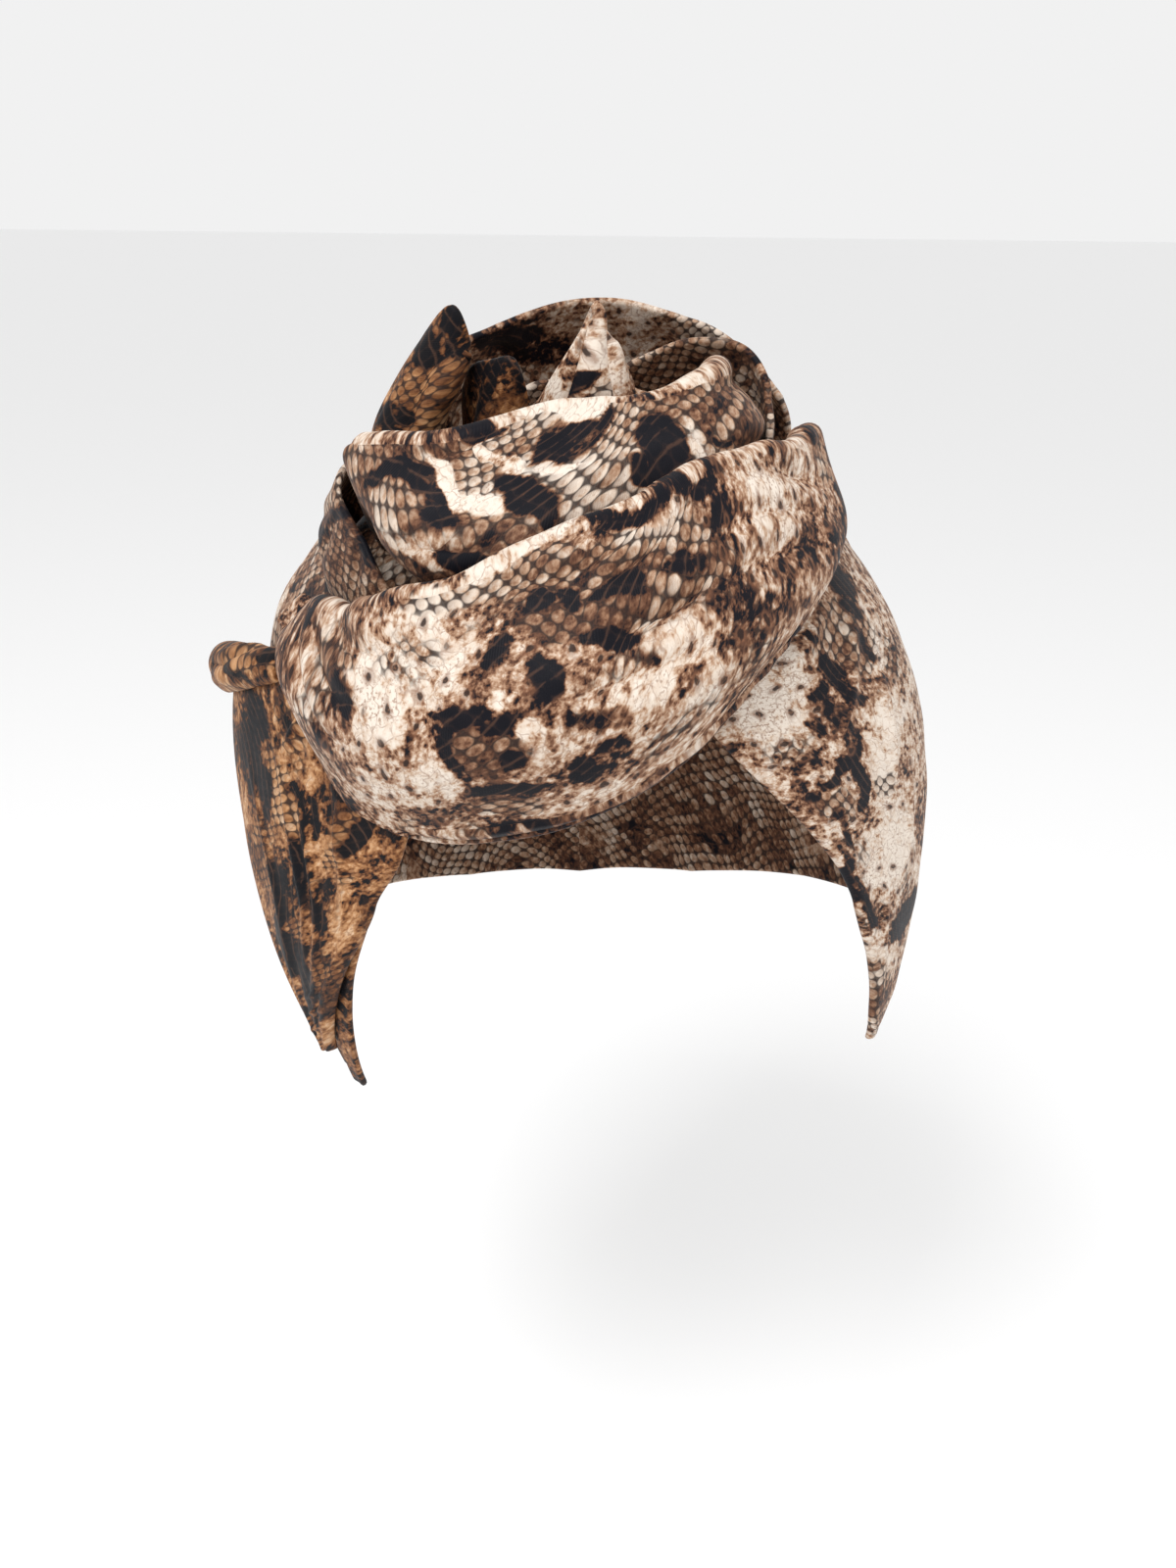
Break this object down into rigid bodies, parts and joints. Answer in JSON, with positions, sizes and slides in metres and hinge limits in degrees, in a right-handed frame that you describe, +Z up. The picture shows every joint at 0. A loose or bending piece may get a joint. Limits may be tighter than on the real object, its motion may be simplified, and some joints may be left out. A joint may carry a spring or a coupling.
{
  "type": "turban headwrap",
  "caption": "Stretch jersey turban headwrap in a snake print: hollow head cap, side bands to the ears and a coiled rosette of folded cloth over the forehead.",
  "frame": {"origin": "crown of the head hollow, on the inside, where the headwrap sits on the head", "axes": "+Z up out of the crown, the face looks towards -Y, +X to the viewer's right as the wearer faces the viewer"},
  "size_m": [0.1902, 0.2176, 0.1992],
  "materials": {
    "crown_cap_cloth": "matte satin jersey, snake print, elastic gathers at the nape",
    "right_band_cloth": "matte satin jersey, snake print",
    "left_edge_strip_cloth": "matte satin jersey, snake print",
    "left_band_cloth": "matte satin jersey, snake print",
    "tuck_roll_cloth": "matte satin jersey, snake print",
    "front_wrap_cloth": "matte satin jersey, snake print",
    "second_wrap_cloth": "matte satin jersey, snake print",
    "left_tunnel_cloth": "matte satin jersey, snake print",
    "back_petal_cloth": "matte satin jersey, snake print",
    "right_petal_cloth": "matte satin jersey, snake print",
    "centre_peak_cloth": "matte satin jersey, snake print",
    "left_peak_cloth": "matte satin jersey, snake print",
    "left_inner_petal_cloth": "matte satin jersey, snake print"
  },
  "bodies": {
    "root": {"crown_cap": "crown_cap_cloth", "right_band": "right_band_cloth", "left_edge_strip": "left_edge_strip_cloth", "left_band": "left_band_cloth", "tuck_roll": "tuck_roll_cloth", "front_wrap": "front_wrap_cloth", "second_wrap": "second_wrap_cloth", "left_tunnel": "left_tunnel_cloth", "back_petal": "back_petal_cloth", "right_petal": "right_petal_cloth", "centre_peak": "centre_peak_cloth", "left_peak": "left_peak_cloth", "left_inner_petal": "left_inner_petal_cloth"}
  },
  "joints": []
}
